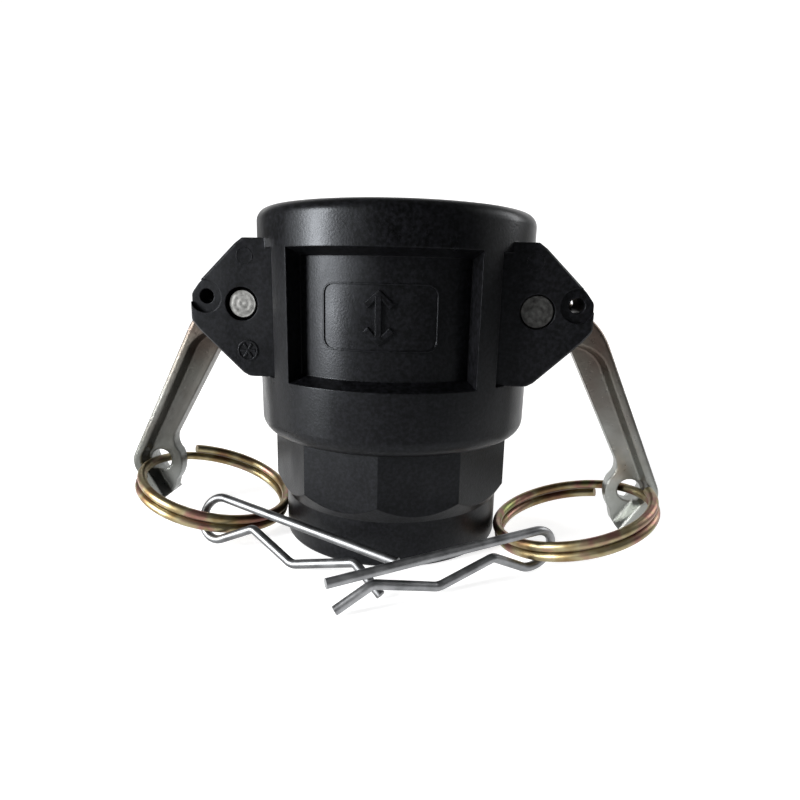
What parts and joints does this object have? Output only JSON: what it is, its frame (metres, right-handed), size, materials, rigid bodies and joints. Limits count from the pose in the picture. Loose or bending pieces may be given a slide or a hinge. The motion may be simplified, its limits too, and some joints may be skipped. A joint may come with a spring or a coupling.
{
  "type": "camlock coupling",
  "caption": "Cam and groove hose coupling, female coupler with female thread: moulded body, gasket, hinged cam arms with pull rings and waved wire safety clips.",
  "frame": {"origin": "centre of the bottom (thread) end face, on the flow axis", "axes": "+Z along the flow axis, up from the thread end towards the socket; the cam arms swing in the XZ plane"},
  "size_m": [0.1236, 0.0755, 0.071],
  "materials": {
    "black_polypropylene": "glass-filled, mottled sheen",
    "nitrile_rubber": "matt",
    "zinc_steel": "zinc plated, satin",
    "zinc_arm": "zinc plated, satin, forged texture",
    "yellow_zinc": "yellow passivated zinc",
    "bright_wire": "bright zinc"
  },
  "bodies": {
    "coupler": {"coupler_body": "black_polypropylene", "gasket": "nitrile_rubber", "pivot_pin_left": "zinc_steel", "pivot_pin_right": "zinc_steel"},
    "arm_left": {"cam_arm_left": "zinc_arm"},
    "arm_right": {"cam_arm_right": "zinc_arm"},
    "ring_left": {"pull_ring_left": "yellow_zinc"},
    "ring_right": {"pull_ring_right": "yellow_zinc"},
    "clip_left": {"r_clip_left": "bright_wire"},
    "clip_right": {"r_clip_right": "bright_wire"}
  },
  "joints": [
    {"name": "arm_left_hinge", "type": "hinge", "parent": "coupler", "child": "arm_left", "pos_m": [-0.02907, 0, 0.05178], "axis": [0, 1, 0], "range_deg": [0, 76]},
    {"name": "arm_right_hinge", "type": "hinge", "parent": "coupler", "child": "arm_right", "pos_m": [0.02907, 0, 0.05178], "axis": [0, -1, 0], "range_deg": [0, 79]},
    {"name": "ring_left_swing", "type": "hinge", "parent": "arm_left", "child": "ring_left", "pos_m": [-0.05706, 0, 0.01234], "axis": [0, 1, 0], "range_deg": [0, 60]},
    {"name": "ring_right_swing", "type": "hinge", "parent": "arm_right", "child": "ring_right", "pos_m": [0.05504, 0, 0.01097], "axis": [0, -1, 0], "range_deg": [0, 45]},
    {"name": "clip_left_swing", "type": "hinge", "parent": "ring_left", "child": "clip_left", "pos_m": [-0.03491, -0.01941, 0.00592], "axis": [0.3519, 0.8762, -0.3294], "range_deg": [-16, 3]},
    {"name": "clip_right_swing", "type": "hinge", "parent": "ring_right", "child": "clip_right", "pos_m": [0.03064, -0.02284, 0.00519], "axis": [0.4895, -0.8451, -0.2149], "range_deg": [-30, 4]}
  ]
}
